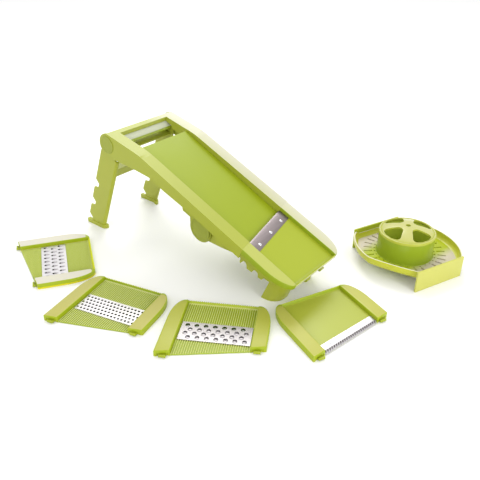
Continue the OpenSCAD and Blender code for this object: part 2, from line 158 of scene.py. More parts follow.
def make_stage():
    scene = bpy.context.scene
    scene.view_settings.view_transform = "Standard"
    scene.view_settings.look = "None"
    world = bpy.data.worlds.new("studio")
    world.use_nodes = True
    background = world.node_tree.nodes["Background"]
    background.inputs["Color"].default_value = (1, 1, 1, 1)
    background.inputs["Strength"].default_value = 1.0
    scene.world = world
    area_light("key", (-0.9, 1.1, 1.6), (0.0, 0, 0.05), 1.2, 22)
    area_light("right", (2.0, -0.5, 0.7), (0.1, 0, 0.05), 1.0, 16)
    area_light("front", (0.3, -1.8, 1.3), (0, 0, 0.05), 1.6, 6)

    mesh = bpy.data.meshes.new("floor")
    half = FLOOR_HALF
    mesh.from_pydata([(-half, -half, 0), (half, -half, 0), (half, half, 0), (-half, half, 0)],
                     [], [(0, 1, 2, 3)])
    floor = bpy.data.objects.new("floor", mesh)
    scene.collection.objects.link(floor)
    material = bpy.data.materials.new("floor_white")
    material.use_nodes = True
    shader = material.node_tree.nodes["Principled BSDF"]
    shader.inputs["Base Color"].default_value = (0.93, 0.925, 0.92, 1)
    shader.inputs["Roughness"].default_value = 0.9
    shader.inputs["Specular IOR Level"].default_value = 0.1
    mesh.materials.append(material)


make_camera()
make_stage()

# ---- materials ----


RAIL_RANGE = (0.02, 0.082)             # metres across, from mid deck to the far rail, over which a painted sheen grows
FLOW_SCALE = 9
GLOSS_SCALE = 20
GRAIN_SCALE = 1800
GRAIN_DEPTH = 0.00006
GLOW = 0.08            # share of light that comes through the plastic
RAIL_SIDE = (0.32, 0.40, 0.010)
# Painted light coming through the rails' feet.
RAIL_FOOT_GLOW = (0.36, 0.41, 0.008)
RIDGE_BAND = (1.8, 2.5)                # heights over which a plate's colours change: painted highlights and shade
WALL_BAND = (2.9, 3.6)
LIP_BAND = (5.6, 6.1)
FOOT_BAND = (2.0, 3.2)
CREASE_BAND = (8.3, 8.4)


class Nodes:
    """A material's node tree with short calls to add and join nodes."""

    def __init__(self, name):
        self.material = bpy.data.materials.new(name)
        self.material.use_nodes = True
        self.tree = self.material.node_tree
        self.shader = self.tree.nodes["Principled BSDF"]

    def add(self, kind, **settings):
        node = self.tree.nodes.new("ShaderNode" + kind)
        for key, value in settings.items():
            setattr(node, key, value)
        return node

    def join(self, source, output, target, entry):
        self.tree.links.new(source.outputs[output], target.inputs[entry])

    def coordinate(self, kind):
        """The x, y and z of the surface's place ("Object") or facing ("Normal")."""
        coords = self.add("TexCoord")
        parts = self.add("SeparateXYZ")
        self.join(coords, kind, parts, "Vector")
        return parts

    def product(self, first, second):
        """Product of the results of two spreads."""
        node = self.add("Math", operation="MULTIPLY")
        self.join(first, "Result", node, 0)
        self.join(second, "Result", node, 1)
        return node

    def facing(self, kind, way):
        """How far the surface's place or facing lies along a direction."""
        coords = self.add("TexCoord")
        node = self.add("VectorMath", operation="DOT_PRODUCT")
        node.inputs[1].default_value = way
        self.join(coords, kind, node, 0)
        return node

    def noise(self, scale, detail=3, stretch=(1, 1, 1)):
        coords = self.add("TexCoord")
        mapping = self.add("Mapping")
        mapping.inputs["Scale"].default_value = stretch
        noise = self.add("TexNoise")
        noise.inputs["Scale"].default_value = scale
        noise.inputs["Detail"].default_value = detail
        self.join(coords, "Object", mapping, "Vector")
        self.join(mapping, "Vector", noise, "Vector")
        return noise

    def spread(self, source, output, low, high, start=0.3, end=0.7):
        """Maps a texture's value onto low to high."""
        node = self.add("MapRange")
        node.inputs["From Min"].default_value = start
        node.inputs["From Max"].default_value = end
        node.inputs["To Min"].default_value = low
        node.inputs["To Max"].default_value = high
        self.join(source, output, node, "Value")
        return node

    def painted_light_facing(self, base, colour, up, near, far, limits=(0.8, 0.95)):
        """Paints light: mixes a paler colour onto what faces `up`, more of it towards the far side."""
        side = self.spread(self.coordinate("Object"), "Y", near, far, *RAIL_RANGE)
        tops = self.spread(self.facing("Normal", up), "Value", 0, 1, *limits)
        return self.mixed(base, colour, self.product(tops, side), "Value")

    def mixed(self, base, colour, amount, output):
        """Mixes a colour over `base` by an amount from another node."""
        mix = self.add("Mix", data_type="RGBA")
        mix.inputs["B"].default_value = (*colour, 1)
        self.join(base, "Result", mix, "A")
        self.join(amount, output, mix, "Factor")
        return mix

    def flow(self, colour, shade):
        """A colour with faint flow marks in it."""
        mix = self.add("Mix", data_type="RGBA")
        mix.inputs["A"].default_value = (*(c * shade for c in colour), 1)
        mix.inputs["B"].default_value = (*colour, 1)
        self.join(self.spread(self.noise(FLOW_SCALE), "Fac", 0, 1), "Result", mix, "Factor")
        return mix

    def finish_plastic(self, colour, rough):
        """Surface grain, gloss and a little light through the wall."""
        self.join(colour, "Result", self.shader, "Base Color")
        self.join(self.spread(self.noise(GLOSS_SCALE), "Fac", *rough), "Result",
                  self.shader, "Roughness")
        grain = self.bump(self.noise(GRAIN_SCALE, 2), 0.12, GRAIN_DEPTH)
        self.join(grain, "Normal", self.shader, "Normal")
        self.shader.inputs["IOR"].default_value = 1.46
        self.shader.inputs["Specular IOR Level"].default_value = 0.35
        self.shader.inputs["Subsurface Weight"].default_value = GLOW
        self.shader.inputs["Subsurface Radius"].default_value = (0.0025, 0.0025, 0.0006)
        self.shader.inputs["Subsurface Scale"].default_value = 1.0
        return self.material

    def bump(self, noise, strength, distance):
        node = self.add("Bump")
        node.inputs["Strength"].default_value = strength
        node.inputs["Distance"].default_value = distance
        self.join(noise, "Fac", node, "Height")
        return node


def plastic(name, colour, rough=(0.34, 0.4), tops=()):
    """Moulded plastic. Each of `tops` is painted light, a paler colour on what faces one way: its
    colour, the way, its amount on the near and the far side, and maybe the limits of the facing."""
    m = Nodes(name)
    mix = m.flow(colour, 0.96)
    for top in tops:
        mix = m.painted_light_facing(mix, *top)
    return m.finish_plastic(mix, rough)


def band(m, place, limits):
    """0 below the limits, given in millimetres of height, and 1 above them."""
    return m.spread(place, "Z", 0, 1, limits[0] * MM, limits[1] * MM)


def plate_plastic(name, low, ridge, wall, lip):
    """An insert's plate: valleys, ridge tops, the exit wall and its lip, told by height; the colours
    paint highlights and shade.
    """
    m = Nodes(name)
    place = m.coordinate("Object")
    mix = m.flow(low, 0.94)
    for colour, limits in ((ridge, RIDGE_BAND), (wall, WALL_BAND), (lip, LIP_BAND)):
        mix = m.mixed(mix, colour, band(m, place, limits), "Result")
    return m.finish_plastic(mix, (0.3, 0.36))


def rim_plastic(name, colour, edge_colour, above):
    """The holder's dish: its rounded rim catches a pale line of light."""
    m = Nodes(name)
    place = m.coordinate("Object")
    high = m.spread(place, "Z", 0, 0.85, above * MM, (above + 1) * MM)
    up = m.spread(m.coordinate("Normal"), "Z", 0, 1, 0.35, 0.8)
    mix = m.mixed(m.flow(colour, 0.96), edge_colour, m.product(high, up), "Value")
    return m.finish_plastic(mix, (0.28, 0.34))


def plate_with_painted_reflection(name, colour, reflection_colour, place, turn, start, full):
    """The holder's plate: its own green round the drum, with a pale painted reflection towards two
    opposite sides.
    """
    m = Nodes(name)
    axis = place.to_3x3() @ Vector((cos(radians(turn)), sin(radians(turn)), 0))
    axis.normalize()
    middle = m.add("Math", operation="SUBTRACT")
    middle.inputs[1].default_value = place.translation.dot(axis)
    m.join(m.facing("Object", axis), "Value", middle, 0)
    off = m.add("Math", operation="ABSOLUTE")
    m.join(middle, "Value", off, 0)
    amount = m.spread(off, "Value", 0, 1, start * MM, full * MM)
    return m.finish_plastic(m.mixed(m.flow(colour, 0.95), reflection_colour, amount, "Result"), (0.3, 0.36))


def metal(name, colour, rough, stretch=(1, 1, 1), scratch=0.05):
    """Sheet steel, with fine marks along one direction where it is brushed."""
    m = Nodes(name)
    brush = m.noise(420, 4, stretch)
    mix = m.add("Mix", data_type="RGBA")
    mix.inputs["A"].default_value = (*(c * 0.88 for c in colour), 1)
    mix.inputs["B"].default_value = (*colour, 1)
    m.join(m.spread(brush, "Fac", 0, 1), "Result", mix, "Factor")
    m.join(mix, "Result", m.shader, "Base Color")
    m.join(m.spread(m.noise(30), "Fac", *rough), "Result", m.shader, "Roughness")
    m.join(m.bump(brush, scratch, 0.00004), "Normal", m.shader, "Normal")
    m.shader.inputs["Metallic"].default_value = 0.9
    return m.material


def rail_plastic(name, top_colour, foot_glow=RAIL_FOOT_GLOW):
    """Plastic of an insert's rails: tops up to a crease paler, a painted sheen, green sides and
    ends, and painted light coming through the feet."""
    m = Nodes(name)
    place = m.coordinate("Object")
    sides = m.mixed(m.flow(foot_glow, 0.97), RAIL_SIDE, band(m, place, FOOT_BAND), "Result")
    up = m.spread(m.coordinate("Normal"), "Z", 0, 1, 0.9, 0.99)
    tops = m.product(up, band(m, place, CREASE_BAND))
    return m.finish_plastic(m.mixed(sides, top_colour, tops, "Value"), (0.38, 0.44))


DECK_UP = (sin(DECK_TILT), 0, cos(DECK_TILT))
EXIT_WAY = (cos(DECK_TILT), 0, -sin(DECK_TILT))
# Painted sheen: a pale colour on the deck's up-facing faces, little on the near side, most on the far
# rail.
SHEEN_COLOUR = (0.66, 0.62, 0.62)
DECK_SHEEN = (SHEEN_COLOUR, DECK_UP, 0.03, 0.60)
DECK_PLASTIC = plastic("deck_plastic", (0.35, 0.385, 0.035), tops=[DECK_SHEEN])
RUNWAY_PLASTIC = plastic("runway_plastic", (0.272, 0.338, 0.006), rough=(0.42, 0.48))
LEG_PLASTIC = plastic("leg_plastic", (0.36, 0.39, 0.035))
HUB_PLASTIC = plastic("hub_plastic", (0.29, 0.33, 0.03))
# The carry bar's upper side gets a whitish painted highlight.
BAR_PLASTIC = plastic("bar_plastic", (0.30, 0.38, 0.012), rough=(0.2, 0.26),
                      tops=[((0.62, 0.64, 0.52), (0.6, 0, 0.8), 0.95, 0.95, (0.45, 0.6))])
INSERT_PLASTIC = plastic("insert_plastic", (0.33, 0.39, 0.015), rough=(0.4, 0.46))
# Faces towards the exit get a pale painted highlight.
SEAT_PLATE_PLASTIC = plastic("seat_plate_plastic", (0.325, 0.38, 0.018), rough=(0.4, 0.46),
                             tops=[((0.62, 0.62, 0.40), EXIT_WAY, 0.8, 0.8)])
# Paler ridge tops and lips are painted highlights. The exit wall's darker colour on the fine and julienne
# plates is painted shade; its paler colour on the coarse and shredder plates is painted light.
FINE_PLATE = plate_plastic("fine_plate_plastic", (0.33, 0.41, 0.02), (0.58, 0.60, 0.24),
                           (0.27, 0.35, 0.008), (0.60, 0.62, 0.015))
COARSE_PLATE = plate_plastic("coarse_plate_plastic", (0.32, 0.41, 0.010), (0.58, 0.60, 0.20),
                             (0.38, 0.45, 0.03), (0.46, 0.52, 0.05))
SHREDDER_PLATE = plate_plastic("shredder_plate_plastic", (0.38, 0.46, 0.03), (0.56, 0.60, 0.20),
                               (0.62, 0.66, 0.015), (0.66, 0.70, 0.02))
JULIENNE_PLATE = plate_plastic("julienne_plate_plastic", (0.33, 0.39, 0.02), (0.36, 0.40, 0.04),
                               (0.29, 0.38, 0.006), (0.40, 0.47, 0.015))
# Each insert's rail tops get their own pale colour, a painted sheen, strongest on the shredder, whose
# feet also get a strong yellow painted glow.
SHREDDER_RAIL_SHEEN = rail_plastic("shredder_rail_painted_sheen", (0.60, 0.575, 0.47), foot_glow=(0.66, 0.60, 0.004))
FINE_RAIL_SHEEN = rail_plastic("fine_rail_painted_sheen", (0.435, 0.41, 0.105))
COARSE_RAIL_SHEEN = rail_plastic("coarse_rail_painted_sheen", (0.385, 0.40, 0.052))
JULIENNE_RAIL_SHEEN = rail_plastic("julienne_rail_painted_sheen", (0.425, 0.425, 0.08))
# The seat rails: dark green sides, painted shade; paler tops, painted light, with the deck's painted
# sheen.
SEAT_RAIL = plastic("seat_rail_plastic", (0.26, 0.34, 0.012),
                    tops=[((0.41, 0.44, 0.085), DECK_UP, 0.95, 0.95), DECK_SHEEN])
RIM_PLASTIC = rim_plastic("rim_plastic", (0.50, 0.515, 0.035), (0.74, 0.70, 0.56), 23.6)
# Two copies of the flange colour: the far flange dark green, painted shade; the near flange pale yellow,
# painted light.
FAR_FLANGE_SHADE = plastic("far_flange_painted_shade", (0.40, 0.46, 0.015))
NEAR_FLANGE_LIGHT = plastic("flange_plastic", (0.52, 0.52, 0.11))
# The pale colour towards the plate's sides is a painted reflection.
DISH_PLASTIC = plate_with_painted_reflection("dish_plastic", (0.40, 0.47, 0.012), (0.58, 0.52, 0.40),
                             HOLDER, 10, 33, 48)
# Up-facing parts of the cap get a paler colour, a painted sheen.
CAP_PLASTIC = plastic("cap_plastic", (0.42, 0.45, 0.05), rough=(0.2, 0.26),
                      tops=[((0.50, 0.49, 0.19), (0, 0, 1), 0.8, 0.8)])
DRUM_PLASTIC = plastic("drum_plastic", (0.27, 0.36, 0.02), rough=(0.22, 0.26))
# A bright green sheet inside the drum: painted light on the drum's inner wall.
DRUM_PAINTED_LIGHT = plastic("liner_plastic", (0.62, 0.72, 0.08))
BLADE_STEEL = metal("blade_steel", (0.235, 0.20, 0.20), (0.34, 0.42), (1, 0.05, 1), 0.12)
STRIP_STEEL = metal("strip_steel", (0.68, 0.66, 0.67), (0.32, 0.40), (0.05, 1, 1), 0.06)
COARSE_STEEL = metal("coarse_steel", (0.42, 0.395, 0.405), (0.34, 0.42), (0.05, 1, 1), 0.06)
HOOD_STEEL = metal("hood_steel", (0.34, 0.32, 0.33), (0.30, 0.38))
TOOTH_STEEL = metal("tooth_steel", (0.30, 0.28, 0.28), (0.34, 0.42))
RIVET_STEEL = metal("rivet_steel", (0.8, 0.78, 0.8), (0.2, 0.3))
# Hole walls in near-black and dark green: painted shade inside the holes.
HOLE_SHADE = plastic("hole_painted_shade", (0.020, 0.026, 0.006), rough=(0.6, 0.7))
OPEN_HOLE_SHADE = plastic("open_hole_painted_shade", (0.045, 0.075, 0.004), rough=(0.5, 0.6))
HOLE_GREY = metal("hole_grey", (0.34, 0.32, 0.33), (0.4, 0.5))

# ---- mesh code ----


def shell_mesh(name, parts, place):
    """A mesh of several closed shells, given in the place's own millimetres."""
    mesh = bpy.data.meshes.new(name)
    verts, faces = [], []
    for part_verts, part_faces in parts:
        faces += [tuple(i + len(verts) for i in face) for face in part_faces]
        verts += [place @ Vector(v) for v in part_verts]
    mesh.from_pydata(verts, [], faces)
    return mesh


def smooth(mesh):
    mesh.shade_smooth()
    mesh.set_sharp_from_angle(angle=SHARP)


def finish_mesh(mesh):
    bm = bmesh.new()
    bm.from_mesh(mesh)
    bmesh.ops.remove_doubles(bm, verts=bm.verts, dist=WELD)
    bmesh.ops.dissolve_degenerate(bm, edges=bm.edges, dist=WELD)
    bmesh.ops.recalc_face_normals(bm, faces=bm.faces)
    bm.to_mesh(mesh)
    bm.free()
    smooth(mesh)


def piece(name, parts, place, body, material, bevel=0.0, stands_for=()):
    """One object from several closed shells, given in the place's own millimetres."""
    mesh = shell_mesh(name, parts, place)
    finish_mesh(mesh)
    mesh.materials.append(material)
    obj = bpy.data.objects.new(name, mesh)
    bpy.context.scene.collection.objects.link(obj)
    if bevel:
        round_edges(obj, bevel)
    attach(obj, body)
    if stands_for:
        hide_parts(*stands_for)
    return obj


def round_edges(obj, width):
    bevel = obj.modifiers.new("rounded_edges", "BEVEL")
    bevel.width = width * MM
    bevel.segments = 2
    bevel.limit_method = "ANGLE"
    bevel.angle_limit = SHARP
    bevel.harden_normals = True
    bevel.use_clamp_overlap = True


def finish_cad(node, material, bevel):
    """Gives a CAD node its finish, with its edges rounded by modifiers."""
    obj = frame["nodes"][node]
    obj.data.materials.clear()
    obj.data.materials.append(material)
    if bevel:
        weld = obj.modifiers.new("weld", "WELD")
        weld.merge_threshold = 2e-6
        flat = obj.modifiers.new("flat_faces", "DECIMATE")
        flat.decimate_type = "DISSOLVE"
        flat.angle_limit = radians(1.0)
        round_edges(obj, bevel)


def bridge(loops):
    """Faces between successive closed loops of equal length, with end caps."""
    size = len(loops[0])
    faces = []
    for k in range(len(loops) - 1):
        a, b = k * size, (k + 1) * size
        for i in range(size):
            j = (i + 1) % size
            faces.append((a + i, a + j, b + j, b + i))
    faces.append(tuple(reversed(range(size))))
    faces.append(tuple(range((len(loops) - 1) * size, len(loops) * size)))
    return [v for loop in loops for v in loop], faces


def prism(outline, z0, z1):
    return bridge([[(x, y, z0) for x, y in outline], [(x, y, z1) for x, y in outline]])


def along(section, start, end):
    """A closed (b, z) section made solid along a, from start(b) to end(b)."""
    return bridge([[(start(b), b, z) for b, z in section], [(end(b), b, z) for b, z in section]])


def block(x, y, z):
    return prism([(x[0], y[0]), (x[1], y[0]), (x[1], y[1]), (x[0], y[1])], *z)


def sheet_shell(points, rows, cols, thick):
    """A thin closed shell: a grid of points and the same grid moved in by each point's way."""
    top = [p for p, _ in points]
    low = [tuple(Vector(p) - Vector(way) * thick) for p, way in points]
    n = rows * cols
    faces = []
    for r in range(rows - 1):
        for c in range(cols - 1):
            a, b = r * cols + c, r * cols + c + 1
            d, e = a + cols, b + cols
            faces.append((a, b, e, d))
            faces.append((n + a, n + d, n + e, n + b))
    rim = [(0, c) for c in range(cols)]
    rim += [(r, cols - 1) for r in range(1, rows)]
    rim += [(rows - 1, c) for c in range(cols - 2, -1, -1)]
    rim += [(r, 0) for r in range(rows - 2, 0, -1)]
    ids = [r * cols + c for r, c in rim]
    for a, b in zip(ids, ids[1:] + ids[:1]):
        faces.append((b, a, n + a, n + b))
    return top + low, faces


def hood(a, b, ra, rb, height, facing):
    """A raised scoop over a hole: half a dome whose mouth faces along a."""
    rows, cols = 6, 9
    points = []
    for r in range(rows):
        rise = (r / (rows - 1)) * pi / 2
        for c in range(cols):
            turn = -pi / 2 + pi * c / (cols - 1)
            way = Vector((-facing * cos(turn) * cos(rise), sin(turn) * cos(rise), sin(rise)))
            points.append(((a + way.x * ra, b + way.y * rb, METAL_TOP - 0.05 + way.z * height), way))
    return sheet_shell(points, rows, cols, HOOD_T)


def circle(x, y, r, n=24):
    return [(x + r * cos(2 * pi * k / n), y + r * sin(2 * pi * k / n)) for k in range(n)]


def area(outline):
    return sum(x0 * y1 - x1 * y0 for (x0, y0), (x1, y1) in zip(outline, outline[1:] + outline[:1]))


def cut_sheet(outer, holes, z0, z1):
    """A flat sheet with holes, cut from outlines."""
    curve = bpy.data.curves.new("cut", "CURVE")
    curve.dimensions = "2D"
    curve.fill_mode = "BOTH"
    curve.extrude = (z1 - z0) / 2
    for k, outline in enumerate([outer] + holes):
        points = outline if (area(outline) > 0) == (k == 0) else outline[::-1]
        spline = curve.splines.new("POLY")
        spline.points.add(len(points) - 1)
        spline.use_cyclic_u = True
        for point, (x, y) in zip(spline.points, points):
            point.co = (x, y, 0, 1)
    obj = bpy.data.objects.new("cut", curve)
    mesh = bpy.data.meshes.new_from_object(obj)
    verts = [(v.co.x, v.co.y, v.co.z + (z0 + z1) / 2) for v in mesh.vertices]
    faces = [tuple(p.vertices) for p in mesh.polygons]
    bpy.data.objects.remove(obj)
    bpy.data.curves.remove(curve)
    bpy.data.meshes.remove(mesh)
    return verts, faces


# ---- inserts ----


def tab_end(b):
    return INSERT_LEN - SLANT * b


def rail_edge(a):
    near = min(max(a, 0), ROUND_LEN) / ROUND_LEN
    return LANE + 1 + (HALF_W - LANE - 1) * sqrt(1 - (1 - near) ** 2)


def rail_top(a):
    """Height of the rails' tops, which fall a little towards the exit edge."""
    if a >= FALL_LEN:
        return INSERT_H
    return EXIT_H + (INSERT_H - EXIT_H) * sqrt(1 - ((FALL_LEN - a) / FALL_LEN) ** 2)


def rail_section(side, a, draw_in):
    """Closed loop (b, z) of a hollow rail at station a, drawn in near its ends."""
    inner, outer = LANE + draw_in * 0.3, rail_edge(a) - draw_in
    top = rail_top(a) - draw_in
    r = min(1.3, (outer - inner) / 3)
    crown = min(0.1, (outer - inner) / 40)
    loop = [(outer, 0)]
    for k in range(5):
        q = k * pi / 8
        loop.append((outer - r + r * cos(q), top - crown - r + r * sin(q)))
    for k in range(1, 6):
        f = k / 6
        loop.append((outer - r + (inner + 2 * r - outer) * f, top - crown + crown * sin(pi * f)))
    for k in range(4, -1, -1):
        q = k * pi / 8
        loop.append((inner + r - r * cos(q), top - crown - r + r * sin(q)))
    loop.append((inner, 0))
    cave_in, cave_out = inner + 2, max(inner + 2.05, outer - SKIN)
    roof = max(0.05, top - SKIN)
    loop += [(cave_in, 0), (cave_in, roof), (cave_out, roof), (cave_out, 0)]
    return [(side * b, z) for b, z in loop]


ROUNDED_END = [(0.9, 0), (0.45, 0.12), (0.15, 0.4), (0, 0.8)]
SEATED_END = [(0.3, 0), (-0.24, 0)]     # meets the main frame's rail with no visible seam
RAIL_START = [(0, 0.6), (0.15, 0.35), (0.4, 0.12), (0.8, 0)]
RAIL_STATIONS = (1.6, 3, 5, 7.5, 10, 12.5, 17, 21, 26, 32, 40, 60)


def insert_rail(side, ends=ROUNDED_END):
    """A rail: (a, draw_in) stations from the exit edge to the tab end."""
    loops = []
    for a, draw_in in RAIL_START + [(a, 0) for a in RAIL_STATIONS]:
        loops.append([(a, b, z) for b, z in rail_section(side, a, draw_in)])
    for back, draw_in in ends:
        section = rail_section(side, RAIL_STATIONS[-1], draw_in)
        loops.append([(tab_end(b) - back, b, z) for b, z in section])
    return bridge(loops)


KNIFE_OUT = 1          # how far a knife's edge stands out of the tab end
KNIFE_GRIND = 3
RIVETS_B = (-32, 0, 32)
RIDGE = 1.1            # height of the ridges
RIDGE_PITCH = 2.9
RIDGE_PROFILE = ((0, 0), (0.26, 0), (0.36, 0.85), (0.5, 1), (0.64, 0.85), (0.74, 0))
# the turned-up exit edge: (a, how far the plate's top rises there)
EXIT_WALL = [(0, 3.1), (0.25, 3.7), (0.6, 4.0), (1.2, 4.0), (1.6, 3.6), (2.0, 2.4),
             (2.8, 1.1), (4, 0.35), (6, 0)]


def plate_section(ridge, rise):
    """(b, z) loop of a plate, ridged or plain, its top raised by `rise`."""
    half = LANE + OVERLAP
    count = round(2 * half / RIDGE_PITCH)
    step = 2 * half / count
    low = PLATE_TOP - ridge + rise
    top = []
    for k in range(count):
        for f, share in RIDGE_PROFILE:
            top.append((-half + (k + f) * step, low + ridge * share))
    top.append((half, low))
    return [(half, PLATE_LOW), (-half, PLATE_LOW)] + top


def exit_plate(ridge, end):
    """The plate from its turned-up exit edge to end(b)."""
    loops = [[(a, b, z) for b, z in plate_section(ridge, rise)] for a, rise in EXIT_WALL]
    loops.append([(end(b), b, z) for b, z in plate_section(ridge, 0)])
    return bridge(loops)


def insert_clip(side):
    b = side * CLIP_B
    across = (b - CLIP_HALF, b + CLIP_HALF)
    edge = tab_end(b)
    arm = block((edge - 3, edge + 4.5), across, (1.2, 3.4))
    hook = block((edge + 2.6, edge + 4.5), across, (3.0, 4.6))
    return [arm, hook]


def rail_end_wall(side):
    """Closes a hollow rail at its tab end."""
    b0, b1 = sorted((side * (LANE + OVERLAP), side * (HALF_W - OVERLAP)))
    section = [(b0, 0), (b1, 0), (b1, INSERT_H - 1), (b0, INSERT_H - 1)]
    return along(section, lambda b: tab_end(b) - 2.4, lambda b: tab_end(b) - 0.5)


def insert_frame(name, place, body, plates, finishes, ends=ROUNDED_END):
    """Rails, clips and plates of an insert, in the finishes (rails, plates)."""
    sides = [insert_rail(side, ends) for side in (-1, 1)]
    sides += [rail_end_wall(side) for side in (-1, 1)]
    clips = insert_clip(-1) + insert_clip(1)
    piece(name + "_rails", sides, place, body, finishes[0],
          stands_for=[body + "_frame"])
    piece(name + "_clips", clips, place, body, INSERT_PLASTIC, bevel=0.35)
    piece(name + "_plate", plates, place, body, finishes[1])


def side_bars(a0, a1):
    """What carries a strip's two ends."""
    reach = LANE + OVERLAP
    return [block((a0 - 0.5, a1 + 0.5), across, (PLATE_LOW, PLATE_TOP - SINK))
            for across in ((-reach, -BAR_B), (BAR_B, reach))]


def strip_sheet(a0, a1, holes):
    outline = [(a0, -STRIP_HALF), (a1, -STRIP_HALF), (a1, STRIP_HALF), (a0, STRIP_HALF)]
    return cut_sheet(outline, holes, METAL_TOP - METAL_T, METAL_TOP)


def grater_insert(kind, place, a0, a1, holes, finishes, steel=STRIP_STEEL):
    body = kind + "_insert"
    tab_plate = along(plate_section(RIDGE, 0), lambda b: a1, tab_end)
    insert_frame(kind + "_frame", place, body, [exit_plate(RIDGE, lambda b: a0), tab_plate],
                 finishes)
    piece(kind + "_strip_seat", side_bars(a0, a1), place, body, INSERT_PLASTIC)
    piece(kind + "_metal", [strip_sheet(a0, a1, holes)], place, body, steel,
          stands_for=[kind + "_strip"])


def collar(a, b, r, n=18):
    """The turned-down wall of a punched hole."""
    out, inside, top, low = r + 0.05, r - 0.2, METAL_TOP + 0.05, 0.3
    return revolved([(out, top), (inside, top), (inside, low), (out, low)], (a, b), n)


def shredder():
    a0, a1 = 38.5, 75
    body, r = "shredder_insert", 1.9
    holes, collars, hoods = [], [], []
    for i in range(3):
        for j in range(9 - i % 2):
            a, b = a0 + 8.5 + 10.6 * i, -41.2 + 10.3 * j + (i % 2) * 5.15
            holes.append(circle(a + 1.2, b, r, 16))
            collars.append(collar(a + 1.2, b, r))
            hoods.append(hood(a + 0.4, b, 6.0, 2.0, 1.2, facing=1))
    grater_insert("shredder", SHREDDER, a0, a1, holes, (SHREDDER_RAIL_SHEEN, SHREDDER_PLATE))
    # Near-black hole walls: painted shade inside the holes.
    piece("shredder_hole_walls", collars, SHREDDER, body, HOLE_SHADE)
    piece("shredder_scoops", hoods, SHREDDER, body, HOOD_STEEL)


def fine_grater():
    a0, a1 = 40, 74
    body, r = "fine_grater_insert", 1.6
    holes, collars = [], []
    for i in range(5):
        for j in range(17 - i % 2):
            a, b = a0 + 4.6 + 6.2 * i, -43.2 + 5.4 * j + (i % 2) * 2.7
            holes.append(circle(a, b, r, 14))
            collars.append(collar(a, b, r, 14))
    grater_insert("fine_grater", FINE, a0, a1, holes, (FINE_RAIL_SHEEN, FINE_PLATE))
    # Near-black hole walls: painted shade inside the holes.
    piece("fine_grater_hole_walls", collars, FINE, body, HOLE_SHADE)


def coarse_grater():
    a0, a1 = 42, 77
    body, r = "coarse_grater_insert", 3.1
    holes, open_walls, walls, hoods = [], [], [], []
    for i in range(4):
        for j in range(7):
            a, b = a0 + 6 + 7.6 * i, -38.5 + 12 * j + (i % 2) * 5
            holes.append(circle(a, b, r))
            (walls if i else open_walls).append(collar(a, b, r, 24))
            if i:
                hoods.append(hood(a + 1.5, b, 2.6, 3.3, 0.7, facing=-1))
    grater_insert("coarse_grater", COARSE, a0, a1, holes, (COARSE_RAIL_SHEEN, COARSE_PLATE), COARSE_STEEL)
    # The open row's dark green hole walls are painted shade inside the holes.
    piece("coarse_grater_open_hole_walls", open_walls, COARSE, body, OPEN_HOLE_SHADE)
    piece("coarse_grater_hole_walls", walls, COARSE, body, HOLE_GREY)
    piece("coarse_grater_scoops", hoods, COARSE, body, COARSE_STEEL)


def edge_sheet(width):
    """A knife: sheet metal along the slanted cutting edge, ground down to its edge."""
    low = METAL_TOP - METAL_T
    section = [(-KNIFE_OUT, low), (KNIFE_GRIND - KNIFE_OUT, METAL_TOP), (width, METAL_TOP),
               (width, low)]
    half = LANE - 0.3
    return bridge([[(tab_end(b) - d, b, z) for d, z in section] for b in (-half, half)])


def knife_seat(back, front):
    """What a knife lies on, between two distances from the tab end."""
    reach, top = LANE + OVERLAP, PLATE_TOP - SINK
    section = [(reach, PLATE_LOW), (-reach, PLATE_LOW), (-reach, top), (reach, top)]
    return along(section, lambda b: tab_end(b) - back, lambda b: tab_end(b) - front)


def rivet(a, b, r, base, rise):
    loops = []
    for k in range(6):
        q = k * pi / 10
        loops.append([(x, y, base + rise * sin(q)) for x, y in circle(a, b, max(r * cos(q), 0.05), 24)])
    loops.insert(0, [(x, y, base - 0.2) for x, y in circle(a, b, r, 24)])
    return bridge(loops)


def rivet_heads(name, place, body, back, r, rise, node):
    heads = [rivet(tab_end(b) - back, b, r, METAL_TOP, rise) for b in RIVETS_B]
    piece(name, heads, place, body, RIVET_STEEL, stands_for=[node])


def slicing():
    body = "slicing_insert"
    width = 18
    insert_frame("slicing_frame", SEAT, body, [exit_plate(0, lambda b: tab_end(b) - width)],
                 (SEAT_RAIL, SEAT_PLATE_PLASTIC), SEATED_END)
    piece("slicing_blade_seat", [knife_seat(width + 0.2, 6)], SEAT, body,
          INSERT_PLASTIC)
    piece("slicing_blade_sheet", [edge_sheet(width)], SEAT, body, BLADE_STEEL,
          stands_for=["slicing_blade"])
    rivet_heads("blade_rivet_heads", SEAT, body, 12, 2.5, 0.75, "blade_rivets")


def comb_tooth(b):
    """An upright tooth just behind the julienne knife's edge."""
    a, half = tab_end(b), 0.4
    tooth = [(a - 4.2, METAL_TOP - 0.2), (a - 0.4, METAL_TOP - 0.2), (a - 0.9, METAL_TOP + 2.6),
             (a - 1.9, METAL_TOP + 2.8)]
    return bridge([[(x, y, z) for x, z in tooth] for y in (b - half, b + half)])


def julienne():
    body = "julienne_insert"
    width = 14
    first, pitch, count = -44.8, 3.7, 25
    insert_frame("julienne_frame", JULIENNE, body, [exit_plate(0, lambda b: tab_end(b) - width)],
                 (JULIENNE_RAIL_SHEEN, JULIENNE_PLATE))
    piece("julienne_blade_seat", [knife_seat(width + 0.2, 2)], JULIENNE, body,
          INSERT_PLASTIC)
    piece("julienne_blade_sheet", [edge_sheet(width)], JULIENNE, body, STRIP_STEEL,
          stands_for=["julienne_blade"])
    teeth = [comb_tooth(first + pitch * k) for k in range(count)]
    piece("julienne_comb", teeth, JULIENNE, body, TOOTH_STEEL)
    rivet_heads("julienne_rivet_heads", JULIENNE, body, 10, 2.0, 0.6,
                "julienne_rivets")


# ---- food holder ----

